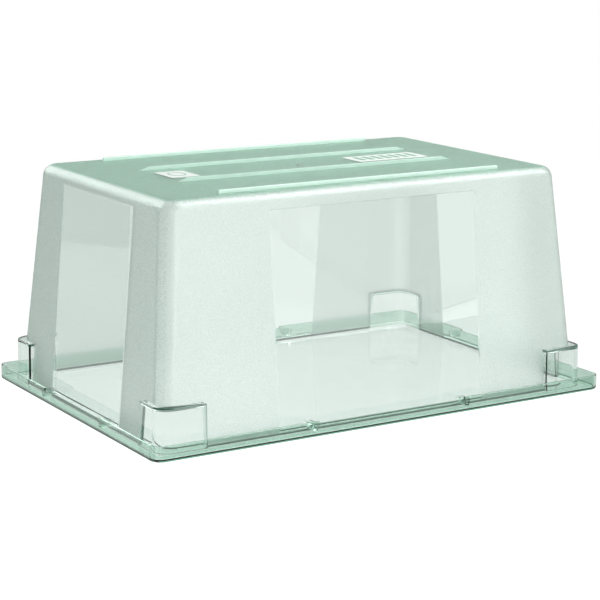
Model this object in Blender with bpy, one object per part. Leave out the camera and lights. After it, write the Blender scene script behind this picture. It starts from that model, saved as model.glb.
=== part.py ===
"""Humidity dome tray: a clear rimmed tray with a tall tapered lift-off dome."""

import math

import bmesh
import bpy

OBJECT_NAME = "humidity_dome_tray"

# tray rim and lip
RIM_HALF_X = 0.3300
RIM_HALF_Y = 0.2285
RIM_RADIUS = 0.0110
LIP_HEIGHT = 0.0192
LIP_THICKNESS = 0.0028
LIP_ROUNDING = 0.0008
BASE_ROUNDING = 0.0022
FLOOR_TOP = 0.0030
FLOOR_FILLET = 0.0022

# raised growing bed inside the dome
BED_HALF_X = 0.2980
BED_HALF_Y = 0.1925
BED_RADIUS = 0.0140
BED_HEIGHT = 0.0012

# stretches where the lip is lower, and the webs at their ends
LOW_LIP_HEIGHT = 0.0163
LOW_HALF_X = 0.1080
LOW_HALF_Y = 0.0780
WEB_THICKNESS = 0.0022
WEB_TOP = 0.0160
WEB_CLEARANCE = 0.0005
WEB_CHAMFER = 0.0030

# dome wall, from its foot to its flat top
FOOT_Z = 0.0033
TOP_Z = 0.2925
FOOT_HALF_X = 0.3112
FOOT_HALF_Y = 0.2065
TOP_HALF_X = 0.2865
TOP_HALF_Y = 0.1770
WALL_RADIUS = 0.0220
WALL_THICKNESS = 0.0030
TOP_ROUNDING = 0.0130
BEAD_PROUD = 0.0010
BEAD_HEIGHT = 0.0026

# hollow corner lugs, which stop nested domes from jamming
LUG_HALF_X = 0.3145
LUG_HALF_Y = 0.2105
LUG_START_X = 0.2545
LUG_START_Y = 0.1600
LUG_TOP_Z = 0.0570
LUG_RADIUS = 0.0200
LUG_ROUNDING = 0.0012
LUG_DRAFT = 0.0006

# ribs and gate mark on the dome top
RIB_HALF_LENGTH = 0.2050
RIB_WIDTH = 0.0036
RIB_HEIGHT = 0.0045
RIB_SINK = 0.0006
RIB_OUTER_Y = 0.1535
RIB_INNER_Y = 0.0520
RIB_RAMP = 0.0140
GATE_RADIUS = 0.0050
GATE_HEIGHT = 0.0006
GATE_SIDES = 24

# blank label plates on the dome top
PLATE_GAP = 0.0003
PLATE_THICKNESS = 0.0008
PLATE_RADIUS = 0.0030
SMALL_CENTRE_X = -0.1780
SMALL_HALF_X = 0.0200
SMALL_HALF_Y = 0.0250
LARGE_CENTRE_X = 0.1355
LARGE_HALF_X = 0.0546
LARGE_HALF_Y = 0.0230

CORNER_SEGMENTS = 8
EDGE_SEGMENTS = 4
OVERCUT = 0.0100
SHARP_ANGLE = 32.0

# how far each piece of the dome runs below its foot before the last cut
SKIN_TRIM = 0.0040
BEAD_TRIM = 0.0030
LUG_TRIM = 0.0020


def clear_file():
    for item in list(bpy.data.objects):
        bpy.data.objects.remove(item, do_unlink=True)
    for group in list(bpy.data.collections):
        bpy.data.collections.remove(group)


def new_collection(name):
    group = bpy.data.collections.new(name)
    bpy.context.scene.collection.children.link(group)
    return group


def plastic(name, color, alpha, roughness):
    material = bpy.data.materials.new(name)
    material.use_nodes = True
    shader = material.node_tree.nodes["Principled BSDF"]
    shader.inputs["Base Color"].default_value = (*color, 1.0)
    shader.inputs["Alpha"].default_value = alpha
    shader.inputs["Roughness"].default_value = roughness
    shader.inputs["Metallic"].default_value = 0.0
    shader.inputs["IOR"].default_value = 1.58
    return material


def add_object(name, body, group):
    mesh = bpy.data.meshes.new(name)
    if body.calc_volume(signed=True) < 0.0:
        bmesh.ops.reverse_faces(body, faces=body.faces)
    body.to_mesh(mesh)
    body.free()
    item = bpy.data.objects.new(name, mesh)
    group.objects.link(item)
    return item


def box(low, high):
    body = bmesh.new()
    bmesh.ops.create_cube(body, size=1.0)
    for vertex in body.verts:
        for axis in range(3):
            vertex.co[axis] = high[axis] if vertex.co[axis] > 0.0 else low[axis]
    return body


def upright_edges(body):
    found = []
    for edge in body.edges:
        start, end = (vertex.co for vertex in edge.verts)
        rise = abs(end.z - start.z)
        run = math.hypot(end.x - start.x, end.y - start.y)
        if rise > run:
            found.append(edge)
    return found


def level_edges(body, z):
    return [
        edge
        for edge in body.edges
        if all(abs(vertex.co.z - z) < 1e-6 for vertex in edge.verts)
    ]


def round_edges(body, edges, radius, segments):
    bmesh.ops.bevel(
        body,
        geom=edges,
        offset=radius,
        offset_type="OFFSET",
        segments=segments,
        profile=0.5,
        affect="EDGES",
        clamp_overlap=True,
    )


def tapered_box(foot, top, low_z, high_z, corner_radius):
    """A box whose top is smaller than its foot, with rounded upright corners."""
    body = box((-1.0, -1.0, low_z), (1.0, 1.0, high_z))
    for vertex in body.verts:
        half_x, half_y = top if vertex.co.z > (low_z + high_z) / 2.0 else foot
        vertex.co.x *= half_x
        vertex.co.y *= half_y
    round_edges(body, upright_edges(body), corner_radius, CORNER_SEGMENTS)
    return body


def shade(item, degrees):
    """Smooth shading with the real corners kept sharp."""
    item.data.shade_smooth()
    item.data.set_sharp_from_angle(angle=math.radians(degrees))


def combine(target, cutter, operation):
    modifier = target.modifiers.new(operation.lower() + "_" + cutter.name, "BOOLEAN")
    modifier.operation = operation
    modifier.solver = "EXACT"
    modifier.object = cutter
    cutter.display_type = "WIRE"
    cutter.hide_render = True


def tray_slab(group):
    size = (RIM_HALF_X, RIM_HALF_Y)
    body = tapered_box(size, size, 0.0, LIP_HEIGHT, RIM_RADIUS)
    round_edges(body, level_edges(body, 0.0), BASE_ROUNDING, EDGE_SEGMENTS)
    return add_object("base_tray", body, group)


def tray_well(cutters):
    size = (RIM_HALF_X - LIP_THICKNESS, RIM_HALF_Y - LIP_THICKNESS)
    radius = RIM_RADIUS - LIP_THICKNESS
    body = tapered_box(size, size, FLOOR_TOP, LIP_HEIGHT + OVERCUT, radius)
    round_edges(body, level_edges(body, FLOOR_TOP), FLOOR_FILLET, EDGE_SEGMENTS)
    return add_object("tray_well", body, cutters)


def growing_bed(cutters):
    foot = (BED_HALF_X, BED_HALF_Y)
    top = (BED_HALF_X - BED_HEIGHT, BED_HALF_Y - BED_HEIGHT)
    low = FLOOR_TOP / 2.0
    body = tapered_box(foot, top, low, FLOOR_TOP + BED_HEIGHT, BED_RADIUS)
    return add_object("growing_bed", body, cutters)


def low_lip_cutter(name, half_x, half_y, cutters):
    low = (-half_x, -half_y, LOW_LIP_HEIGHT)
    high = (half_x, half_y, LIP_HEIGHT + OVERCUT)
    return add_object(name, box(low, high), cutters)


def web(name, along_x, side, end, cutters):
    """A thin web across the gutter, chamfered at its inner foot."""
    rim = RIM_HALF_Y if along_x else RIM_HALF_X
    wall = FOOT_HALF_Y if along_x else FOOT_HALF_X
    start = LOW_HALF_X if along_x else LOW_HALF_Y
    outer = rim - LIP_THICKNESS / 2.0
    inner = wall + BEAD_PROUD + WEB_CLEARANCE
    across = sorted((side * inner, side * outer))
    along = sorted((end * start, end * (start + WEB_THICKNESS)))
    floor = FLOOR_TOP / 2.0
    if along_x:
        body = box((along[0], across[0], floor), (along[1], across[1], WEB_TOP))
    else:
        body = box((across[0], along[0], floor), (across[1], along[1], WEB_TOP))
    axis = 1 if along_x else 0
    for vertex in body.verts:
        at_wall = abs(abs(vertex.co[axis]) - inner) < 1e-6
        if at_wall and vertex.co.z < WEB_TOP:
            vertex.co[axis] += side * WEB_CHAMFER
    return add_object(name, body, cutters)


def base_tray(group, cutters):
    tray = tray_slab(group)
    combine(tray, tray_well(cutters), "DIFFERENCE")
    combine(tray, growing_bed(cutters), "UNION")
    for side in (-1, 1):
        for end in (-1, 1):
            label = f"{side}_{end}"
            combine(tray, web(f"web_long_{label}", True, side, end, cutters), "UNION")
            combine(tray, web(f"web_short_{label}", False, side, end, cutters), "UNION")
    beyond_x = RIM_HALF_X + OVERCUT
    beyond_y = RIM_HALF_Y + OVERCUT
    long_sides = low_lip_cutter("low_lip_long", LOW_HALF_X, beyond_y, cutters)
    combine(tray, long_sides, "DIFFERENCE")
    short_sides = low_lip_cutter("low_lip_short", beyond_x, LOW_HALF_Y, cutters)
    combine(tray, short_sides, "DIFFERENCE")
    shade(tray, SHARP_ANGLE)
    tray.data.materials.append(plastic("tray_clear", (0.70, 0.82, 0.75), 0.45, 0.12))
    return tray


def wall_size(z, inset):
    """Half sizes of the tapered wall at a height, set in from its outer face."""
    share = (z - FOOT_Z) / (TOP_Z - FOOT_Z)
    half_x = FOOT_HALF_X + (TOP_HALF_X - FOOT_HALF_X) * share - inset
    half_y = FOOT_HALF_Y + (TOP_HALF_Y - FOOT_HALF_Y) * share - inset
    return half_x, half_y


def wall_block(low, high, inset):
    foot, top = wall_size(low, inset), wall_size(high, inset)
    body = tapered_box(foot, top, low, high, WALL_RADIUS - inset)
    round_edges(body, level_edges(body, high), TOP_ROUNDING - inset, EDGE_SEGMENTS + 1)
    return body


def dome_skin(group):
    return add_object("dome_shell", wall_block(FOOT_Z - SKIN_TRIM, TOP_Z, 0.0), group)


def dome_hollow(cutters):
    body = wall_block(FOOT_Z - OVERCUT, TOP_Z - WALL_THICKNESS, WALL_THICKNESS)
    return add_object("dome_hollow", body, cutters)


def foot_bead(cutters):
    size = (FOOT_HALF_X + BEAD_PROUD, FOOT_HALF_Y + BEAD_PROUD)
    high = FOOT_Z + BEAD_HEIGHT
    body = tapered_box(size, size, FOOT_Z - BEAD_TRIM, high, WALL_RADIUS + BEAD_PROUD)
    round_edges(body, level_edges(body, high), BEAD_PROUD / 2.0, 2)
    return add_object("foot_bead", body, cutters)


def foot_trim(cutters):
    """Everything below the dome's flat foot, cut away last of all."""
    low = (-RIM_HALF_X, -RIM_HALF_Y, FOOT_Z - OVERCUT * 2.0)
    high = (RIM_HALF_X, RIM_HALF_Y, FOOT_Z)
    return add_object("foot_trim", box(low, high), cutters)


def lug_block(name, side_x, side_y, inset, low_z, high_z, cutters):
    """One corner block, its outer upright corner rounded and its faces drafted."""
    start_x = LUG_START_X + inset
    start_y = LUG_START_Y + inset
    end_x = LUG_HALF_X - inset
    end_y = LUG_HALF_Y - inset
    middle_x = (start_x + end_x) / 2.0
    middle_y = (start_y + end_y) / 2.0
    body = box((start_x, start_y, low_z), (end_x, end_y, high_z))
    for vertex in body.verts:
        spread = LUG_DRAFT * (LUG_TOP_Z - vertex.co.z) / LUG_TOP_Z
        if vertex.co.x > middle_x:
            vertex.co.x += spread
        if vertex.co.y > middle_y:
            vertex.co.y += spread
    outer_corner = [
        edge
        for edge in upright_edges(body)
        if all(v.co.x > middle_x and v.co.y > middle_y for v in edge.verts)
    ]
    round_edges(body, outer_corner, LUG_RADIUS - inset, CORNER_SEGMENTS)
    round_edges(body, level_edges(body, high_z), LUG_ROUNDING, 2)
    for vertex in body.verts:
        vertex.co.x *= side_x
        vertex.co.y *= side_y
    return add_object(name, body, cutters)


def corner_lugs(dome, cutters):
    """Adds the four lugs and returns the spaces to cut from inside them."""
    spaces = []
    for side_x in (-1, 1):
        for side_y in (-1, 1):
            label = f"{side_x}_{side_y}"
            lug = lug_block(
                "lug_" + label,
                side_x,
                side_y,
                0.0,
                FOOT_Z - LUG_TRIM,
                LUG_TOP_Z,
                cutters,
            )
            combine(dome, lug, "UNION")
            space = lug_block(
                "lug_hollow_" + label,
                side_x,
                side_y,
                WALL_THICKNESS,
                FOOT_Z - OVERCUT / 2.0,
                LUG_TOP_Z - WALL_THICKNESS,
                cutters,
            )
            spaces.append(space)
    return spaces


def rib(name, y, ramp, cutters):
    half_width = RIB_WIDTH / 2.0
    low = (-RIB_HALF_LENGTH, y - half_width, TOP_Z - RIB_SINK)
    high = (RIB_HALF_LENGTH, y + half_width, TOP_Z + RIB_HEIGHT)
    body = box(low, high)
    for vertex in body.verts:
        if vertex.co.z > TOP_Z:
            vertex.co.x -= math.copysign(ramp, vertex.co.x)
    return add_object(name, body, cutters)


def gate_mark(cutters):
    body = bmesh.new()
    bmesh.ops.create_cone(
        body,
        cap_ends=True,
        segments=GATE_SIDES,
        radius1=GATE_RADIUS,
        radius2=GATE_RADIUS,
        depth=GATE_HEIGHT * 2.0,
    )
    bmesh.ops.translate(body, verts=body.verts, vec=(0.0, 0.0, TOP_Z))
    return add_object("gate_mark", body, cutters)


def dome_shell(group, cutters):
    dome = dome_skin(group)
    combine(dome, foot_bead(cutters), "UNION")
    spaces = corner_lugs(dome, cutters)
    combine(dome, rib("rib_back", RIB_OUTER_Y, 0.0, cutters), "UNION")
    combine(dome, rib("rib_mid_back", RIB_INNER_Y, RIB_RAMP, cutters), "UNION")
    combine(dome, rib("rib_mid_front", -RIB_INNER_Y, RIB_RAMP, cutters), "UNION")
    combine(dome, rib("rib_front", -RIB_OUTER_Y, 0.0, cutters), "UNION")
    combine(dome, gate_mark(cutters), "UNION")
    for space in spaces + [dome_hollow(cutters), foot_trim(cutters)]:
        combine(dome, space, "DIFFERENCE")
    shade(dome, SHARP_ANGLE)
    dome.data.materials.append(plastic("dome_clear", (0.66, 0.80, 0.72), 0.40, 0.20))
    return dome


def label_plate(name, centre_x, half_x, half_y, group):
    low = TOP_Z + PLATE_GAP
    high = low + PLATE_THICKNESS
    body = tapered_box((half_x, half_y), (half_x, half_y), low, high, PLATE_RADIUS)
    bmesh.ops.translate(body, verts=body.verts, vec=(centre_x, 0.0, 0.0))
    plate = add_object(name, body, group)
    shade(plate, SHARP_ANGLE)
    plate.data.materials.append(plastic(name + "_white", (0.86, 0.90, 0.88), 1.0, 0.5))
    return plate


def main():
    clear_file()
    parts = new_collection(OBJECT_NAME)
    cutters = new_collection("cutters")
    base_tray(parts, cutters)
    dome_shell(parts, cutters)
    label_plate("label_small", SMALL_CENTRE_X, SMALL_HALF_X, SMALL_HALF_Y, parts)
    label_plate("label_large", LARGE_CENTRE_X, LARGE_HALF_X, LARGE_HALF_Y, parts)


main()
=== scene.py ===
# Humidity dome tray: fine meshes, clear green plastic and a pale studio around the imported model.
import math

import bmesh
import bpy
from mathutils import Matrix, Vector


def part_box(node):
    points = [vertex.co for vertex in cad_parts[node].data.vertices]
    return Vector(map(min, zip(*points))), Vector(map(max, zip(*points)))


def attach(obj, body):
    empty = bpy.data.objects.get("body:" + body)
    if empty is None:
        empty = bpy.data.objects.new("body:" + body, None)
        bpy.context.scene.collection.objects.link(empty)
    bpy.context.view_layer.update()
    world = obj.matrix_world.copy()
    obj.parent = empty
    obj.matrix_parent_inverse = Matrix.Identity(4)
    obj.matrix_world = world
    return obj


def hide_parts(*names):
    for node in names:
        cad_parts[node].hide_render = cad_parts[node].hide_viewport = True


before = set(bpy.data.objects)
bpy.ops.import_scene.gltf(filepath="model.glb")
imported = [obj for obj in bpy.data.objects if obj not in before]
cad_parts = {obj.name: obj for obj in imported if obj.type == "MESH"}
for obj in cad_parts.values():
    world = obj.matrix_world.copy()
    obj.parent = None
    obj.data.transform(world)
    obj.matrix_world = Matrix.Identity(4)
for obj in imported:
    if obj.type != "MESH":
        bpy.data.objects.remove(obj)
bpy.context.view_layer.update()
_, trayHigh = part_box("base_tray")

overcut = 0.01  # how far a cutting tool reaches past what it cuts
sameSpot = 1e-6  # closer than this counts as the same height or place
sharpAngle = 32.0  # degrees, edges above this stay sharp


def boxMesh(low, high):
    body = bmesh.new()
    bmesh.ops.create_cube(body, size=1.0)
    for vertex in body.verts:
        for axis in range(3):
            vertex.co[axis] = high[axis] if vertex.co[axis] > 0.0 else low[axis]
    return body


def uprightEdges(body):
    found = []
    for edge in body.edges:
        start, end = (vertex.co for vertex in edge.verts)
        if abs(end.z - start.z) > math.hypot(end.x - start.x, end.y - start.y):
            found.append(edge)
    return found


def levelEdges(body, z):
    found = []
    for edge in body.edges:
        if all(abs(vertex.co.z - z) < sameSpot for vertex in edge.verts):
            found.append(edge)
    return found


def roundEdges(body, edges, radius, segments):
    bmesh.ops.bevel(
        body,
        geom=edges,
        offset=radius,
        offset_type="OFFSET",
        segments=segments,
        profile=0.5,
        affect="EDGES",
        clamp_overlap=True,
    )


def taperedBox(foot, top, lowZ, highZ, cornerRadius, cornerSteps):
    body = boxMesh((-1.0, -1.0, lowZ), (1.0, 1.0, highZ))
    for vertex in body.verts:
        half = top if vertex.co.z > (lowZ + highZ) / 2.0 else foot
        vertex.co.x *= half[0]
        vertex.co.y *= half[1]
    roundEdges(body, uprightEdges(body), cornerRadius, cornerSteps)
    return body


def makePiece(name, body):
    if body.calc_volume(signed=True) < 0.0:
        bmesh.ops.reverse_faces(body, faces=body.faces)
    mesh = bpy.data.meshes.new(name)
    body.to_mesh(mesh)
    body.free()
    piece = bpy.data.objects.new(name, mesh)
    bpy.context.scene.collection.objects.link(piece)
    return piece


def settle(piece):
    # the modifiers become the mesh, so nothing is left to work out later
    depsgraph = bpy.context.evaluated_depsgraph_get()
    result = bpy.data.meshes.new_from_object(piece.evaluated_get(depsgraph))
    result.name = piece.name
    piece.modifiers.clear()
    piece.data = result


def carve(piece, tools, operation):
    for tool in tools:
        step = piece.modifiers.new(operation.lower(), "BOOLEAN")
        step.operation = operation
        step.solver = "EXACT"
        step.object = tool
        settle(piece)
        bpy.data.objects.remove(tool, do_unlink=True)


def cleanUp(piece, joinWithin):
    body = bmesh.new()
    body.from_mesh(piece.data)
    bmesh.ops.remove_doubles(body, verts=body.verts, dist=joinWithin)
    bmesh.ops.dissolve_degenerate(body, edges=body.edges, dist=joinWithin)
    openEdges = sum(1 for edge in body.edges if len(edge.link_faces) != 2)
    body.to_mesh(piece.data)
    body.free()
    faceCount = len(piece.data.polygons)
    print(piece.name, "faces", faceCount, "open edges", openEdges)


def markFaces(piece, name, share):
    # share gives each face a value from 0 to 1
    mark = piece.data.attributes.new(name, "FLOAT", "FACE")
    for face in piece.data.polygons:
        mark.data[face.index].value = share(face.center, face.normal)


def smoothOver(piece):
    piece.data.shade_smooth()
    piece.data.set_sharp_from_angle(angle=math.radians(sharpAngle))
    weighted = piece.modifiers.new("evenNormals", "WEIGHTED_NORMAL")
    weighted.mode = "FACE_AREA"
    weighted.weight = 100
    weighted.keep_sharp = True
    settle(piece)


def newMaterial(name):
    material = bpy.data.materials.new(name)
    material.use_nodes = True
    tree = material.node_tree
    return material, tree, tree.nodes["Principled BSDF"]


def addNode(tree, kind, **settings):
    node = tree.nodes.new(kind)
    for key, value in settings.items():
        setattr(node, key, value)
    return node


def sumNode(tree, operation, first, second):
    node = addNode(tree, "ShaderNodeMath", operation=operation)
    for socket, value in zip(node.inputs, (first, second)):
        if isinstance(value, (int, float)):
            socket.default_value = value
        else:
            tree.links.new(value, socket)
    return node.outputs[0]


def ramp(tree, value, fromLow, fromHigh, toLow, toHigh):
    node = addNode(tree, "ShaderNodeMapRange", interpolation_type="SMOOTHSTEP")
    tree.links.new(value, node.inputs["Value"])
    node.inputs["From Min"].default_value = fromLow
    node.inputs["From Max"].default_value = fromHigh
    node.inputs["To Min"].default_value = toLow
    node.inputs["To Max"].default_value = toHigh
    return node.outputs["Result"]


def product(tree, *values):
    result = values[0]
    for value in values[1:]:
        result = sumNode(tree, "MULTIPLY", result, value)
    return result


def separate(tree, vector):
    node = addNode(tree, "ShaderNodeSeparateXYZ")
    tree.links.new(vector, node.inputs[0])
    return node.outputs


def splitAbs(tree, place):
    x, y, z = separate(tree, place)
    return sumNode(tree, "ABSOLUTE", x, 0.0), sumNode(tree, "ABSOLUTE", y, 0.0), z


def faceMark(tree, name):
    return addNode(tree, "ShaderNodeAttribute", attribute_name=name).outputs["Fac"]


def projection(tree, place, direction):
    node = addNode(tree, "ShaderNodeVectorMath", operation="DOT_PRODUCT")
    tree.links.new(place, node.inputs[0])
    node.inputs[1].default_value = direction
    return node.outputs["Value"]


def mixColour(tree, share, first, second):
    node = addNode(tree, "ShaderNodeMix", data_type="RGBA")
    tree.links.new(share, node.inputs[0])
    for socket, value in ((node.inputs[6], first), (node.inputs[7], second)):
        if isinstance(value, tuple):
            socket.default_value = (*value, 1.0)
        else:
            tree.links.new(value, socket)
    return node.outputs[2]


def mixValue(tree, share, first, second):
    node = addNode(tree, "ShaderNodeMix", data_type="FLOAT")
    tree.links.new(share, node.inputs[0])
    for socket, value in ((node.inputs[2], first), (node.inputs[3], second)):
        if isinstance(value, (int, float)):
            socket.default_value = value
        else:
            tree.links.new(value, socket)
    return node.outputs[0]


def addBump(tree, shader, height, strength, distance):
    bump = addNode(tree, "ShaderNodeBump")
    bump.inputs["Strength"].default_value = strength
    bump.inputs["Distance"].default_value = distance
    tree.links.new(height, bump.inputs["Height"])
    tree.links.new(bump.outputs["Normal"], shader.inputs["Normal"])


def grain(tree, place, size, detail):
    node = addNode(tree, "ShaderNodeTexNoise")
    tree.links.new(place, node.inputs["Vector"])
    node.inputs["Scale"].default_value = 1.0 / size
    node.inputs["Detail"].default_value = detail
    node.inputs["Roughness"].default_value = 0.6
    return node.outputs["Fac"]


def addTint(tree, plastic, share):
    # light that travels far inside the plastic comes out green
    depth = addNode(tree, "ShaderNodeVolumeAbsorption")
    depth.inputs["Color"].default_value = (*plastic["depthColour"], 1.0)
    depth.inputs["Density"].default_value = plastic["depthDensity"] * share
    output = tree.nodes["Material Output"]
    tree.links.new(depth.outputs["Volume"], output.inputs["Volume"])


clearPlastic = dict(
    # colours of the skins, with painted light on the short walls and painted shade on the top,
    # rim, lip and dark edges
    skinColour=(0.962, 0.974, 0.967),
    frostColour=(0.930, 0.985, 0.955),
    shortLitColour=(0.92, 1.00, 0.955),
    topShadedColour=(0.53, 0.86, 0.68),
    ribColour=(0.80, 0.98, 0.89),
    rimShadedColour=(0.68, 0.82, 0.75),
    lipShadedColour=(0.55, 0.72, 0.63),
    edgeShadeColour=(0.010, 0.060, 0.038),
    trayEdgeShadeColour=(0.070, 0.270, 0.165),
    frostShade=0.76,
    topShade=0.78,
    # haze is the share of light that the skin stops and scatters
    topHaze=0.20,
    sideHaze=0.12,
    ribHaze=0.40,
    returnClear=0.80,
    # green inside the plastic
    depthColour=(0.16, 0.80, 0.54),
    depthDensity=25.0,
    trayDepth=0.45,
    domeDepth=1.0,
    # polish and grain
    ior=1.58,
    smoothRoughness=0.012,
    handledRoughness=0.030,
    handledSize=0.030,
    bedRoughness=0.05,
    ribRoughness=0.28,
    frostRoughness=0.38,
    frostSpread=0.25,
    frostSink=0.00050,
    frostGrain=0.0016,
    coarseTimes=6.0,
    coarseShare=0.35,
    longSideGrain=0.50,
    roundingGrain=3.4,
    topStreak=0.30,
    waveHeight=0.00012,
    waveLength=0.060,
    trayBump=0.5,
    domeBump=0.7,
    # how far a face has to turn before it counts as a side, a rounding or the top
    sideTurn=(0.70, 0.72),
    roundingTurn=(0.10, 0.60),
    topTurn=(0.80, 0.97),
)


def trayPlastic(plastic):
    material, tree, shader = newMaterial("trayClear")
    shader.inputs["IOR"].default_value = plastic["ior"]
    place = addNode(tree, "ShaderNodeTexCoord").outputs["Object"]
    x, y, _ = splitAbs(tree, place)
    # painted shade: the gutter and lip outside the dome's foot are coloured greener and darker
    # than the floor, standing in for light that travels far inside the thick plastic
    fromX, fromY = tray["greenFrom"]
    pastX = ramp(tree, x, fromX, fromX + tray["greenSoft"], 0.0, 1.0)
    pastY = ramp(tree, y, fromY, fromY + tray["greenSoft"], 0.0, 1.0)
    outside = sumNode(tree, "MAXIMUM", pastX, pastY)
    tone = mixColour(tree, outside, plastic["skinColour"], plastic["rimShadedColour"])
    inX = trayHigh[0] - tray["lipThickness"]
    inY = trayHigh[1] - tray["lipThickness"]
    lipX = ramp(tree, x, inX - tray["lipSoft"], inX, 0.0, 1.0)
    lipY = ramp(tree, y, inY - tray["lipSoft"], inY, 0.0, 1.0)
    onLip = sumNode(tree, "MAXIMUM", lipX, lipY)
    tone = mixColour(tree, onLip, tone, plastic["lipShadedColour"])
    # painted shade: the tray's foot and lip top are coloured dark and let little light through
    edgeShade = faceMark(tree, "paintedEdgeShade")
    colour = mixColour(tree, edgeShade, tone, plastic["trayEdgeShadeColour"])
    tree.links.new(colour, shader.inputs["Base Color"])
    tree.links.new(sumNode(tree, "SUBTRACT", 1.0, edgeShade), shader.inputs["Transmission Weight"])
    handling = grain(tree, place, plastic["handledSize"], 3.0)
    rough = ramp(tree, handling, 0.35, 0.75, plastic["smoothRoughness"],
                 plastic["handledRoughness"])
    # the floor inside the dome is a little duller than the gutter
    worn = product(tree, sumNode(tree, "SUBTRACT", 1.0, outside), plastic["bedRoughness"])
    tree.links.new(sumNode(tree, "ADD", rough, worn), shader.inputs["Roughness"])
    flow = grain(tree, place, plastic["waveLength"], 1.0)
    addBump(tree, shader, flow, plastic["trayBump"], plastic["waveHeight"])
    addTint(tree, plastic, plastic["trayDepth"])
    return material


ribs = dict(
    halfLength=0.2050,
    width=0.0036,
    height=0.0045,
    sink=0.0006,
    outerY=0.1535,
    innerY=0.0520,
    ramp=0.0140,
    rounding=0.0008,
    roundSteps=3,
    footLine=0.0009,
    footShade=0.80,
    footFade=0.0020,
)

frostWindows = dict(
    longHalf=0.150,
    longTop=0.272,
    shortHalf=0.097,
    shortTop=0.276,
    edge=0.0030,
)


def findPanes(tree, place, windows, longSide, shortSide):
    # 1 on the polished window in the middle of each wall
    x, y, z = splitAbs(tree, place)
    half = windows["edge"] / 2.0

    def inside(value, limit):
        return ramp(tree, value, limit - half, limit + half, 1.0, 0.0)

    longPane = product(tree, inside(x, windows["longHalf"]), longSide,
                       inside(z, windows["longTop"]))
    shortPane = product(tree, inside(y, windows["shortHalf"]), shortSide,
                        inside(z, windows["shortTop"]))
    return sumNode(tree, "MAXIMUM", longPane, shortPane)


def findRibFootShade(tree, place):
    # painted shade: a thin dark line where the front of each rib meets the top
    x, y, _ = separate(tree, place)
    reach = ramp(tree, sumNode(tree, "ABSOLUTE", x, 0.0), ribs["halfLength"] - ribs["footFade"],
                 ribs["halfLength"], 1.0, 0.0)
    feet = []
    for ribY in (-ribs["outerY"], -ribs["innerY"], ribs["innerY"], ribs["outerY"]):
        fromFoot = sumNode(tree, "SUBTRACT", y, ribY - ribs["width"] / 2.0)
        gap = sumNode(tree, "ABSOLUTE", fromFoot, 0.0)
        line = ramp(tree, gap, ribs["footLine"] / 2.0, ribs["footLine"], ribs["footShade"], 0.0)
        feet.append(product(tree, line, reach))
    result = feet[0]
    for line in feet[1:]:
        result = sumNode(tree, "MAXIMUM", result, line)
    return result


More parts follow.
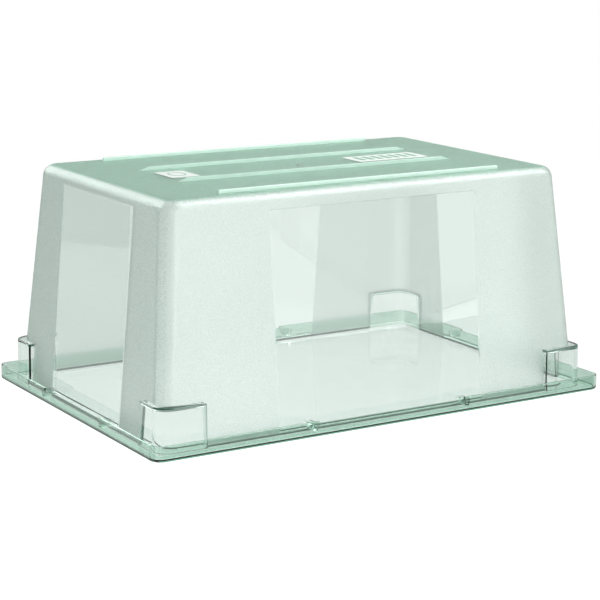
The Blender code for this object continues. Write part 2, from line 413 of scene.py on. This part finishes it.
def domePlastic(plastic, windows):
    material, tree, shader = newMaterial("domeClear")
    shader.inputs["IOR"].default_value = plastic["ior"]
    place = addNode(tree, "ShaderNodeTexCoord").outputs["Object"]
    facing = separate(tree, addNode(tree, "ShaderNodeNewGeometry").outputs["Normal"])
    longSide = ramp(tree, sumNode(tree, "ABSOLUTE", facing[1], 0.0), *plastic["sideTurn"],
                    0.0, 1.0)
    shortSide = ramp(tree, sumNode(tree, "ABSOLUTE", facing[0], 0.0), *plastic["sideTurn"],
                     0.0, 1.0)
    onTop = ramp(tree, facing[2], *plastic["topTurn"], 0.0, 1.0)
    skin = faceMark(tree, "outerSkin")
    edgeShade = faceMark(tree, "paintedEdgeShade")
    ribSkin = faceMark(tree, "ribSkin")
    panes = findPanes(tree, place, windows, longSide, shortSide)
    frost = product(tree, sumNode(tree, "SUBTRACT", 1.0, panes), skin)
    topSkin = product(tree, onTop, skin)

    # frosted skin is rougher, with a fine sandy grain, drawn out along the top
    stretch = addNode(tree, "ShaderNodeMapping")
    tree.links.new(place, stretch.inputs["Vector"])
    stretch.inputs["Scale"].default_value = (plastic["topStreak"], 1.0, 1.0)
    streaks = grain(tree, stretch.outputs[0], plastic["frostGrain"], 2.0)
    sandy = grain(tree, place, plastic["frostGrain"], 2.0)
    fine = mixValue(tree, onTop, sandy, streaks)
    coarse = grain(tree, place, plastic["frostGrain"] * plastic["coarseTimes"], 2.0)
    speckle = sumNode(tree, "ADD", fine, product(tree, coarse, plastic["coarseShare"]))
    frostRough = ramp(tree, speckle, 0.35, 1.0,
                      plastic["frostRoughness"] * (1.0 - plastic["frostSpread"]),
                      plastic["frostRoughness"] * (1.0 + plastic["frostSpread"]))
    rough = mixValue(tree, frost, plastic["smoothRoughness"], frostRough)
    ribRough = product(tree, ribSkin, plastic["ribRoughness"])
    tree.links.new(sumNode(tree, "MAXIMUM", rough, ribRough), shader.inputs["Roughness"])

    tone = mixColour(tree, frost, plastic["skinColour"], plastic["frostColour"])
    # painted light: the frosted short walls get their own, lighter tone
    tone = mixColour(tree, product(tree, shortSide, frost), tone, plastic["shortLitColour"])
    # painted shade: the top is coloured greener and darker, standing in for light that travels far
    # through it
    tone = mixColour(tree, topSkin, tone, plastic["topShadedColour"])
    tone = mixColour(tree, ribSkin, tone, plastic["ribColour"])
    darkFrost = tuple(c * plastic["frostShade"] for c in plastic["frostColour"])
    darkTop = tuple(c * plastic["topShade"] for c in plastic["topShadedColour"])
    darker = mixColour(tree, topSkin, darkFrost, darkTop)
    calm = ramp(tree, longSide, 0.0, 1.0, 1.0, plastic["longSideGrain"])
    grainShare = product(tree, ramp(tree, fine, 0.40, 0.60, 1.0, 0.0), frost, calm)
    tone = mixColour(tree, grainShare, tone, darker)
    # painted shade in front of each rib's foot on the top
    ribFootShade = product(tree, findRibFootShade(tree, place), topSkin)
    edgeShade = sumNode(tree, "MAXIMUM", edgeShade, ribFootShade)
    # painted shade: lug tops, lug edges, the bead and the rib feet are coloured dark green and let
    # little light through
    tone = mixColour(tree, edgeShade, tone, plastic["edgeShadeColour"])
    tree.links.new(tone, shader.inputs["Base Color"])

    haze = mixValue(tree, onTop, plastic["sideHaze"], plastic["topHaze"])
    haze = product(tree, haze, frost, ramp(tree, fine, 0.30, 0.70, 0.70, 1.30))
    haze = sumNode(tree, "ADD", haze, product(tree, ribSkin, plastic["ribHaze"]))
    haze = sumNode(tree, "MAXIMUM", haze, edgeShade)
    tree.links.new(sumNode(tree, "SUBTRACT", 1.0, haze), shader.inputs["Transmission Weight"])
    # the thin return walls of the lugs hardly show
    fade = product(tree, faceMark(tree, "lugReturn"), plastic["returnClear"])
    tree.links.new(sumNode(tree, "SUBTRACT", 1.0, fade), shader.inputs["Alpha"])

    flow = product(tree, grain(tree, place, plastic["waveLength"], 1.0), plastic["waveHeight"])
    bold = ramp(tree, facing[2], *plastic["roundingTurn"], 1.0, plastic["roundingGrain"])
    sand = product(tree, speckle, plastic["frostSink"], frost, bold)
    addBump(tree, shader, sumNode(tree, "ADD", flow, sand), plastic["domeBump"], 1.0)
    addTint(tree, plastic, plastic["domeDepth"])
    return material


def labelPlastic(name, spec, markZ):
    material, tree, shader = newMaterial(name)
    place = addNode(tree, "ShaderNodeTexCoord").outputs["Object"]
    worn = tuple(c * spec["wornShade"] for c in spec["colour"])
    tone = mixColour(tree, grain(tree, place, spec["wornSize"], 4.0), worn, spec["colour"])
    raised = ramp(tree, separate(tree, place)[2], markZ - spec["markSoft"], markZ, 0.0, 1.0)
    printed = mixColour(tree, raised, tone, spec["markColour"])
    tree.links.new(printed, shader.inputs["Base Color"])
    rough = ramp(tree, grain(tree, place, spec["roughSize"], 2.0), 0.3, 0.7,
                 *spec["roughness"])
    tree.links.new(rough, shader.inputs["Roughness"])
    pores = grain(tree, place, spec["poreSize"], 2.0)
    addBump(tree, shader, pores, spec["bump"], spec["poreDepth"])
    return material


tray = dict(
    rimRadius=0.0150,
    baseRounding=0.0022,
    lipThickness=0.0028,
    lipRounding=0.0007,
    floorTop=0.0030,
    floorFillet=0.0022,
    bedHalf=(0.2980, 0.1925),
    bedRadius=0.0140,
    bedHeight=0.0012,
    lowLip=0.0163,
    lowHalf=(0.1080, 0.0780),
    webWidth=0.0090,
    webTaper=0.0016,
    webFoot=0.0075,
    webTop=0.0160,
    webRounding=0.0012,
    webWall=0.0013,
    wallFoot=(0.3122, 0.2075),
    webClearance=0.0005,
    greenFrom=(0.3160, 0.2120),
    greenSoft=0.0020,
    lipSoft=0.0010,
    cornerSteps=20,
    bedSteps=12,
    roundSteps=5,
    lipSteps=3,
    joinWithin=0.00002,
    baseShade=0.95,
    lipShade=0.55,
    lipSlack=0.0004,
)


def webBlock(spec, across, along, alongX, inset):
    lowZ = spec["webFoot"] + inset
    highZ = spec["webTop"] + inset
    start, end = along[0] + inset, along[1] - inset
    if alongX:
        body = boxMesh((start, across[0] - inset, lowZ), (end, across[1] + inset, highZ))
    else:
        body = boxMesh((across[0] - inset, start, lowZ), (across[1] + inset, end, highZ))
    axis = 0 if alongX else 1
    middle = (start + end) / 2.0
    for vertex in body.verts:
        if vertex.co.z < highZ:
            vertex.co[axis] -= math.copysign(spec["webTaper"], vertex.co[axis] - middle)
    roundEdges(body, levelEdges(body, lowZ), spec["webRounding"], spec["lipSteps"])
    return body


def clipWeb(spec, across, along, alongX):
    # a small open channel between the lip and the dome's foot
    web = makePiece("web", webBlock(spec, across, along, alongX, 0.0))
    channel = makePiece("channel", webBlock(spec, across, along, alongX, spec["webWall"]))
    carve(web, [channel], "DIFFERENCE")
    return web


def buildTray(spec):
    rimX, rimY, top = trayHigh[0], trayHigh[1], trayHigh[2]
    steps = spec["cornerSteps"]
    slab = taperedBox((rimX, rimY), (rimX, rimY), 0.0, top, spec["rimRadius"], steps)
    roundEdges(slab, levelEdges(slab, 0.0), spec["baseRounding"], spec["roundSteps"])
    roundEdges(slab, levelEdges(slab, top), spec["lipRounding"], spec["lipSteps"])
    piece = makePiece("trayBody", slab)

    lip = spec["lipThickness"]
    wellSize = (rimX - lip, rimY - lip)
    well = taperedBox(wellSize, wellSize, spec["floorTop"], top + overcut,
                      spec["rimRadius"] - lip, steps)
    roundEdges(well, levelEdges(well, spec["floorTop"]), spec["floorFillet"],
               spec["roundSteps"])
    carve(piece, [makePiece("well", well)], "DIFFERENCE")

    bedX, bedY = spec["bedHalf"]
    rise = spec["bedHeight"]
    bedTop = spec["floorTop"] + rise
    bed = taperedBox((bedX, bedY), (bedX - rise, bedY - rise), spec["floorTop"] / 2.0,
                     bedTop, spec["bedRadius"], spec["bedSteps"])
    carve(piece, [makePiece("bed", bed)], "UNION")

    webs = []
    for alongX in (True, False):
        rim = (rimY if alongX else rimX) - lip / 2.0
        wall = spec["wallFoot"][1 if alongX else 0] + spec["webClearance"]
        start = spec["lowHalf"][0 if alongX else 1]
        for side in (-1, 1):
            for end in (-1, 1):
                across = sorted((side * wall, side * rim))
                along = sorted((end * start, end * (start + spec["webWidth"])))
                webs.append(clipWeb(spec, across, along, alongX))
    carve(piece, webs, "UNION")

    lowX, lowY = spec["lowHalf"]
    farX, farY, farZ = rimX + overcut, rimY + overcut, top + overcut
    longCut = boxMesh((-lowX, -farY, spec["lowLip"]), (lowX, farY, farZ))
    shortCut = boxMesh((-farX, -lowY, spec["lowLip"]), (farX, lowY, farZ))
    cuts = [makePiece("lowLong", longCut), makePiece("lowShort", shortCut)]
    carve(piece, cuts, "DIFFERENCE")
    cleanUp(piece, spec["joinWithin"])
    smoothOver(piece)

    # painted shade: the foot and the top of the lip are marked to be coloured dark, as a thick
    # edge of clear plastic looks
    def edgeShare(centre, normal):
        outside = abs(centre.x) > rimX - lip or abs(centre.y) > rimY - lip
        if centre.z < spec["baseRounding"] and normal.z > -0.95 and outside:
            return spec["baseShade"]
        if outside and centre.z > spec["lowLip"] - spec["lipSlack"] and normal.z > 0.3:
            return spec["lipShade"]
        return 0.0

    markFaces(piece, "paintedEdgeShade", edgeShare)
    piece.data.materials.clear()
    piece.data.materials.append(trayPlastic(clearPlastic))
    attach(piece, "tray")
    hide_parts("base_tray")
    print("tray built")


buildTray(tray)

dome = dict(
    footZ=0.0033,
    topZ=0.2925,
    footHalf=(0.3112, 0.2065),
    topHalf=(0.2865, 0.1770),
    wallRadius=0.0220,
    wall=0.0030,
    topRounding=0.0130,
    beadProud=0.0010,
    beadHeight=0.0026,
    lugHalf=(0.3145, 0.2105),
    lugStart=(0.2520, 0.1585),
    lugTop=0.0570,
    lugRadius=0.0200,
    lugRounding=0.0014,
    lugReturn=0.0012,
    returnRounding=0.0011,
    lugDraft=0.0006,
    cornerSteps=20,
    edgeSteps=10,
    lugCornerSteps=14,
    lugTopSteps=4,
    returnSteps=2,
    beadSteps=3,
    trimDepths=(0.004, 0.003, 0.002, 0.005),
    joinWithin=0.00002,
)

gate = dict(radius=0.0050, topShare=0.86, height=0.0006, sides=48)


def wallHalf(z, inset):
    share = (z - dome["footZ"]) / (dome["topZ"] - dome["footZ"])
    halfX = dome["footHalf"][0] + (dome["topHalf"][0] - dome["footHalf"][0]) * share
    halfY = dome["footHalf"][1] + (dome["topHalf"][1] - dome["footHalf"][1]) * share
    return halfX - inset, halfY - inset


def wallBlock(lowZ, highZ, inset):
    body = taperedBox(wallHalf(lowZ, inset), wallHalf(highZ, inset), lowZ, highZ,
                      dome["wallRadius"] - inset, dome["cornerSteps"])
    roundEdges(body, levelEdges(body, highZ), dome["topRounding"] - inset,
               dome["edgeSteps"])
    return body


def lugBlock(name, sideX, sideY, inset, lowZ, highZ):
    start = [value + min(inset, dome["lugReturn"]) for value in dome["lugStart"]]
    end = [value - inset for value in dome["lugHalf"]]
    middle = [(low + high) / 2.0 for low, high in zip(start, end)]
    body = boxMesh((*start, lowZ), (*end, highZ))
    for vertex in body.verts:
        spread = dome["lugDraft"] * (dome["lugTop"] - vertex.co.z) / dome["lugTop"]
        for axis in range(2):
            if vertex.co[axis] > middle[axis]:
                vertex.co[axis] += spread
    outerCorner = []
    for edge in uprightEdges(body):
        if all(v.co.x > middle[0] and v.co.y > middle[1] for v in edge.verts):
            outerCorner.append(edge)
    roundEdges(body, outerCorner, dome["lugRadius"] - inset, dome["lugCornerSteps"])
    if inset == 0.0:
        returns = []
        for edge in uprightEdges(body):
            corner = edge.verts[0].co
            onX = corner.x < start[0] + 0.001 and corner.y > middle[1]
            onY = corner.y < start[1] + 0.001 and corner.x > middle[0]
            if onX or onY:
                returns.append(edge)
        roundEdges(body, returns, dome["returnRounding"], dome["returnSteps"])
    roundEdges(body, levelEdges(body, highZ), dome["lugRounding"], dome["lugTopSteps"])
    for vertex in body.verts:
        vertex.co.x *= sideX
        vertex.co.y *= sideY
    return makePiece(name, body)


def ribBar(y, rampLength):
    half = ribs["width"] / 2.0
    topZ = dome["topZ"]
    length = ribs["halfLength"]
    body = boxMesh((-length, y - half, topZ - ribs["sink"]),
                   (length, y + half, topZ + ribs["height"]))
    for vertex in body.verts:
        if vertex.co.z > topZ:
            vertex.co.x -= math.copysign(rampLength, vertex.co.x)
    roundEdges(body, levelEdges(body, topZ + ribs["height"]), ribs["rounding"],
               ribs["roundSteps"])
    return makePiece("rib", body)


def gateDisc(spec):
    body = bmesh.new()
    bmesh.ops.create_cone(body, cap_ends=True, segments=spec["sides"],
                          radius1=spec["radius"],
                          radius2=spec["radius"] * spec["topShare"],
                          depth=spec["height"] * 2.0)
    bmesh.ops.translate(body, verts=body.verts, vec=(0.0, 0.0, dome["topZ"]))
    return makePiece("gate", body)


marks = dict(
    clearOfTop=0.0003,
    clearOfWall=0.0005,
    slack=0.0002,
    skinBand=0.0008,
    edgeTimes=1.1,
    roundTimes=1.02,
    beadShade=0.85,
)


def outerSkinShare(centre, normal):
    # 1 on the outside of the walls and the top, 0 inside and on lugs, bead and ribs
    halfX, halfY = wallHalf(min(centre.z, dome["topZ"]), 0.0)
    radius = dome["wallRadius"]
    pastX = abs(centre.x) - (halfX - radius)
    pastY = abs(centre.y) - (halfY - radius)
    proud = math.hypot(max(pastX, 0.0), max(pastY, 0.0)) + min(max(pastX, pastY), 0.0)
    proud -= radius
    if centre.z > dome["topZ"] + marks["clearOfTop"]:
        return 0.0
    outward = normal.x * centre.x / halfX + normal.y * centre.y / halfY
    if centre.z > dome["topZ"] - dome["topRounding"] - marks["slack"]:
        return 1.0 if outward > 0.05 or normal.z > 0.5 else 0.0
    return 1.0 if abs(proud) < marks["skinBand"] and outward > 0.3 else 0.0


def edgeShadeShare(centre, normal):
    # painted shade on lug tops and their upright edges, and on the bead at the foot
    halfX, halfY = wallHalf(centre.z, 0.0)
    x, y = abs(centre.x), abs(centre.y)
    clear = marks["clearOfWall"]
    beyond = x > halfX + clear or y > halfY + clear
    lugTop = dome["lugTop"]
    fromZ = lugTop - dome["lugRounding"] * marks["roundTimes"]
    if beyond and fromZ < centre.z < lugTop + clear and normal.z > 0.1:
        return 1.0
    near = dome["returnRounding"] * marks["edgeTimes"]
    startX, startY = dome["lugStart"]
    lugX, lugY = dome["lugHalf"]
    longEdge = abs(x - startX) < near and abs(y - lugY) < near
    shortEdge = abs(y - startY) < near and abs(x - lugX) < near
    if centre.z < lugTop and (longEdge or shortEdge):
        return 1.0
    if centre.z < dome["footZ"] + dome["beadHeight"] * marks["roundTimes"]:
        return marks["beadShade"]
    return 0.0


def ribShare(centre, normal):
    # everything above the top except the gate mark in its middle
    above = centre.z > dome["topZ"] + marks["clearOfTop"]
    return 1.0 if above and abs(centre.y) > ribs["innerY"] / 2.0 else 0.0


def lugReturnShare(centre, normal):
    # the short walls that lead from a lug's face back to the dome's wall
    halfX, halfY = wallHalf(centre.z, 0.0)
    x, y = abs(centre.x), abs(centre.y)
    deepest = dome["lugReturn"] + marks["slack"]
    startX, startY = dome["lugStart"]
    onLong = abs(normal.x) > 0.9 and abs(x - startX) < deepest and y > halfY - dome["wall"]
    onShort = abs(normal.y) > 0.9 and abs(y - startY) < deepest and x > halfX - dome["wall"]
    return 1.0 if centre.z < dome["lugTop"] and (onLong or onShort) else 0.0


def buildDome(spec):
    footZ = spec["footZ"]
    # each part starts at its own depth below the foot, and one last cut trims them level
    wallDepth, beadDepth, lugDepth, hollowDepth = spec["trimDepths"]
    piece = makePiece("domeBody", wallBlock(footZ - wallDepth, spec["topZ"], 0.0))
    beadSize = [value + spec["beadProud"] for value in spec["footHalf"]]
    beadTop = footZ + spec["beadHeight"]
    bead = taperedBox(beadSize, beadSize, footZ - beadDepth, beadTop,
                      spec["wallRadius"] + spec["beadProud"], spec["cornerSteps"])
    roundEdges(bead, levelEdges(bead, beadTop), spec["beadProud"] * 0.8, spec["beadSteps"])
    additions = [makePiece("bead", bead)]
    hollows = []
    for sideX in (-1, 1):
        for sideY in (-1, 1):
            additions.append(lugBlock("lug", sideX, sideY, 0.0, footZ - lugDepth,
                                      spec["lugTop"]))
            hollows.append(lugBlock("lugHollow", sideX, sideY, spec["wall"],
                                    footZ - hollowDepth, spec["lugTop"] - spec["wall"]))
    additions.append(ribBar(ribs["outerY"], 0.0))
    additions.append(ribBar(ribs["innerY"], ribs["ramp"]))
    additions.append(ribBar(-ribs["innerY"], ribs["ramp"]))
    additions.append(ribBar(-ribs["outerY"], 0.0))
    additions.append(gateDisc(gate))
    carve(piece, additions, "UNION")
    inner = wallBlock(footZ - overcut, spec["topZ"] - spec["wall"], spec["wall"])
    hollows.append(makePiece("hollow", inner))
    trimLow = (-trayHigh[0], -trayHigh[1], footZ - 2.0 * overcut)
    trimHigh = (trayHigh[0], trayHigh[1], footZ)
    hollows.append(makePiece("trim", boxMesh(trimLow, trimHigh)))
    carve(piece, hollows, "DIFFERENCE")
    cleanUp(piece, spec["joinWithin"])
    smoothOver(piece)
    markFaces(piece, "outerSkin", outerSkinShare)
    markFaces(piece, "paintedEdgeShade", edgeShadeShare)
    markFaces(piece, "ribSkin", ribShare)
    markFaces(piece, "lugReturn", lugReturnShare)
    piece.data.materials.clear()
    piece.data.materials.append(domePlastic(clearPlastic, frostWindows))
    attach(piece, "dome")
    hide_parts("dome_shell")
    print("dome built")


buildDome(dome)

labels = dict(
    colour=(0.56, 0.61, 0.58),
    markColour=(0.14, 0.30, 0.21),
    markSoft=0.00008,
    wornShade=0.94,
    wornSize=0.0040,
    roughness=(0.35, 0.60),
    roughSize=0.0008,
    bump=0.25,
    poreSize=0.0006,
    poreDepth=0.0001,
    radius=0.0030,
    rounding=0.0002,
    markHeight=0.0002,
    markSink=0.0002,
    barCount=7,
    barWidth=0.0066,
    barPitch=0.0135,
    barHalf=0.0135,
    ovalHalf=(0.0105, 0.0160),
    ovalWidth=0.0016,
    ovalSteps=48,
    cornerSteps=8,
    edgeSteps=2,
    joinWithin=0.00001,
)


def plateBody(name, spec):
    low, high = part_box(name)
    topZ = high[2] - spec["markHeight"]
    middle = Vector(((low[0] + high[0]) / 2.0, (low[1] + high[1]) / 2.0, 0.0))
    half = ((high[0] - low[0]) / 2.0, (high[1] - low[1]) / 2.0)
    body = taperedBox(half, half, low[2], topZ, spec["radius"], spec["cornerSteps"])
    roundEdges(body, levelEdges(body, topZ), spec["rounding"], spec["edgeSteps"])
    return body, middle, high[2], topZ


def finishLabel(piece, middle, node, spec, markZ):
    piece.data.transform(Matrix.Translation(middle))
    cleanUp(piece, spec["joinWithin"])
    smoothOver(piece)
    piece.data.materials.clear()
    finish = labelPlastic(piece.name + "White", spec, markZ)
    piece.data.materials.append(finish)
    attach(piece, "dome")
    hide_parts(node)


def buildBarLabel(spec):
    body, middle, highZ, topZ = plateBody("label_large", spec)
    piece = makePiece("labelBars", body)
    bars = []
    for number in range(spec["barCount"]):
        x = (number - (spec["barCount"] - 1) / 2.0) * spec["barPitch"]
        bar = boxMesh((x - spec["barWidth"] / 2.0, -spec["barHalf"], topZ - spec["markSink"]),
                      (x + spec["barWidth"] / 2.0, spec["barHalf"], highZ))
        bars.append(makePiece("bar", bar))
    carve(piece, bars, "UNION")
    finishLabel(piece, middle, "label_large", spec, highZ)


def ovalDisc(halfX, halfY, lowZ, highZ, steps):
    body = bmesh.new()
    bmesh.ops.create_cone(body, cap_ends=True, segments=steps, radius1=1.0, radius2=1.0,
                          depth=1.0)
    for vertex in body.verts:
        vertex.co.x *= halfX
        vertex.co.y *= halfY
        vertex.co.z = highZ if vertex.co.z > 0.0 else lowZ
    return makePiece("oval", body)


def buildOvalLabel(spec):
    body, middle, highZ, topZ = plateBody("label_small", spec)
    piece = makePiece("labelOval", body)
    halfX, halfY = spec["ovalHalf"]
    width = spec["ovalWidth"]
    outer = ovalDisc(halfX, halfY, topZ - spec["markSink"], highZ, spec["ovalSteps"])
    inner = ovalDisc(halfX - width, halfY - width, topZ, highZ + overcut, spec["ovalSteps"])
    carve(outer, [inner], "DIFFERENCE")
    carve(piece, [outer], "UNION")
    finishLabel(piece, middle, "label_small", spec, highZ)


buildBarLabel(labels)
buildOvalLabel(labels)
print("labels built")

studio = dict(
    aim=(0.0, 0.0, 0.15),
    floorHalf=1.7,
    floorDrop=0.0004,
    # painted light: the floor glows brighter under the tray than beside it
    nearGlow=1.26,
    sideGlow=0.82,
    farGlow=0.78,
    leftGlow=1.10,
    leftFrom=-0.70,
    leftSoft=0.15,
    underSoft=0.01,
    glowEdge=dict(start=(0.141, 0.766), end=(0.093, 0.941), soft=0.02),
    floorColour=(0.02, 0.02, 0.02),
    skyLow=0.76,
    skyHigh=0.48,
    skyTurn=(-0.02, 0.12),
    brightSide=(0.80, 0.60, 0.0),
    sideTurn=(-0.6, 0.5),
    darkSide=0.52,
    fillSide=(0.51, -0.86, 0.0),
    fillTurn=(0.35, 0.95),
    fillGlow=2.3,
    fillHidden=0.85,
)

softboxes = [
    dict(name="topLight", place=(1.13, -0.47, 2.1), size=(1.9, 1.1), glow=9.0),
    dict(name="backLight", place=(-0.86, 2.16, 1.4), size=(1.8, 1.0), glow=6.0),
    dict(name="cornerLight", place=(-0.50, -2.5, 0.6), size=(0.5, 1.2), glow=4.0),
]


def buildFloor(spec):
    body = bmesh.new()
    bmesh.ops.create_grid(body, x_segments=2, y_segments=2, size=spec["floorHalf"])
    mesh = bpy.data.meshes.new("studioFloor")
    body.to_mesh(mesh)
    body.free()
    floor = bpy.data.objects.new("studioFloor", mesh)
    floor.location.z = -spec["floorDrop"]
    bpy.context.scene.collection.objects.link(floor)
    material, tree, shader = newMaterial("floorPaper")
    shader.inputs["Base Color"].default_value = (*spec["floorColour"], 1.0)
    shader.inputs["Roughness"].default_value = 0.9
    shader.inputs["Specular IOR Level"].default_value = 0.0
    shader.inputs["Emission Color"].default_value = (1.0, 1.0, 1.0, 1.0)
    # painted light on the floor: its glow is brightest under the tray, a little lower beside it,
    # and lower again past a slanted line
    place = addNode(tree, "ShaderNodeTexCoord").outputs["Object"]
    x, y, _ = splitAbs(tree, place)
    underX = ramp(tree, x, trayHigh[0], trayHigh[0] + spec["underSoft"], 1.0, 0.0)
    underY = ramp(tree, y, trayHigh[1], trayHigh[1] + spec["underSoft"], 1.0, 0.0)
    under = product(tree, underX, underY)
    start, end = (Vector(spec["glowEdge"][key]) for key in ("start", "end"))
    edge = (end - start).normalized()
    outward = Vector((edge.y, -edge.x, 0.0))
    reach = outward.x * start.x + outward.y * start.y
    soft = spec["glowEdge"]["soft"]
    beside = ramp(tree, projection(tree, place, outward), reach - soft, reach + soft, 1.0, 0.0)
    glow = ramp(tree, beside, 0.0, 1.0, spec["farGlow"], spec["sideGlow"])
    signedX = separate(tree, place)[0]
    leftStart = spec["leftFrom"] - spec["leftSoft"]
    leftEnd = spec["leftFrom"] + spec["leftSoft"]
    left = ramp(tree, signedX, leftStart, leftEnd, spec["leftGlow"], 1.0)
    glow = product(tree, glow, left)
    glow = sumNode(tree, "MAXIMUM", glow, product(tree, under, spec["nearGlow"]))
    path = addNode(tree, "ShaderNodeLightPath")
    level = sumNode(tree, "MAXIMUM", glow, path.outputs["Is Camera Ray"])
    tree.links.new(level, shader.inputs["Emission Strength"])
    mesh.materials.append(material)


def buildSky(spec):
    world = bpy.data.worlds.new("studioSky")
    bpy.context.scene.world = world
    world.use_nodes = True
    tree = world.node_tree
    background = tree.nodes["Background"]
    place = addNode(tree, "ShaderNodeTexCoord").outputs["Generated"]
    level = ramp(tree, separate(tree, place)[2], *spec["skyTurn"], spec["skyLow"],
                 spec["skyHigh"])
    # the studio is darker on one side, which draws the dark edges in the plastic
    toward = projection(tree, place, spec["brightSide"])
    side = ramp(tree, toward, *spec["sideTurn"], spec["darkSide"], 1.0)
    level = product(tree, level, side)
    front = projection(tree, place, spec["fillSide"])
    fill = ramp(tree, front, *spec["fillTurn"], 0.0, spec["fillGlow"])
    # the fill is meant for the skin, so it is weak when seen through the plastic
    path = addNode(tree, "ShaderNodeLightPath")
    through = product(tree, path.outputs["Is Transmission Ray"], spec["fillHidden"])
    fill = product(tree, fill, sumNode(tree, "SUBTRACT", 1.0, through))
    level = sumNode(tree, "ADD", level, fill)
    # straight past the object the backdrop is plain white
    level = sumNode(tree, "MAXIMUM", level, path.outputs["Is Camera Ray"])
    tree.links.new(level, background.inputs["Strength"])
    background.inputs["Color"].default_value = (1.0, 1.0, 1.0, 1.0)


def buildSoftbox(spec, target):
    light = bpy.data.lights.new(spec["name"], "AREA")
    light.shape = "RECTANGLE"
    light.size, light.size_y = spec["size"]
    # radiance times pi times area gives the power
    light.energy = spec["glow"] * math.pi * light.size * light.size_y
    lamp = bpy.data.objects.new(spec["name"], light)
    lamp.location = spec["place"]
    away = Vector(spec["place"]) - target
    lamp.rotation_euler = away.to_track_quat("Z", "Y").to_euler()
    lamp.visible_camera = False
    bpy.context.scene.collection.objects.link(lamp)


cameraSpec = dict(
    place=(-1.2828, -2.0839, 0.6509),
    azimuth=-31.6958,
    down=12.4042,
    roll=0.3662,
    lens=114.08,
    sensor=36.0,
)


def buildCamera(spec):
    turn = math.radians(spec["azimuth"])
    tip = math.radians(spec["down"])
    roll = math.radians(spec["roll"])
    back = Vector((math.sin(turn) * math.cos(tip), -math.cos(turn) * math.cos(tip),
                   math.sin(tip)))
    right = (-back).cross(Vector((0.0, 0.0, 1.0))).normalized()
    up = right.cross(-back)
    rolledRight = right * math.cos(roll) + up * math.sin(roll)
    rolledUp = up * math.cos(roll) - right * math.sin(roll)
    facing = Matrix((rolledRight, rolledUp, back)).transposed()
    data = bpy.data.cameras.new("studioCamera")
    data.lens = spec["lens"]
    data.sensor_width = spec["sensor"]
    data.clip_end = 50.0
    camera = bpy.data.objects.new("studioCamera", data)
    camera.matrix_world = Matrix.Translation(spec["place"]) @ facing.to_4x4()
    bpy.context.scene.collection.objects.link(camera)
    bpy.context.scene.camera = camera


buildFloor(studio)
buildSky(studio)
for softbox in softboxes:
    buildSoftbox(softbox, Vector(studio["aim"]))
buildCamera(cameraSpec)
bpy.context.scene.view_settings.view_transform = "Standard"
print("studio ready")
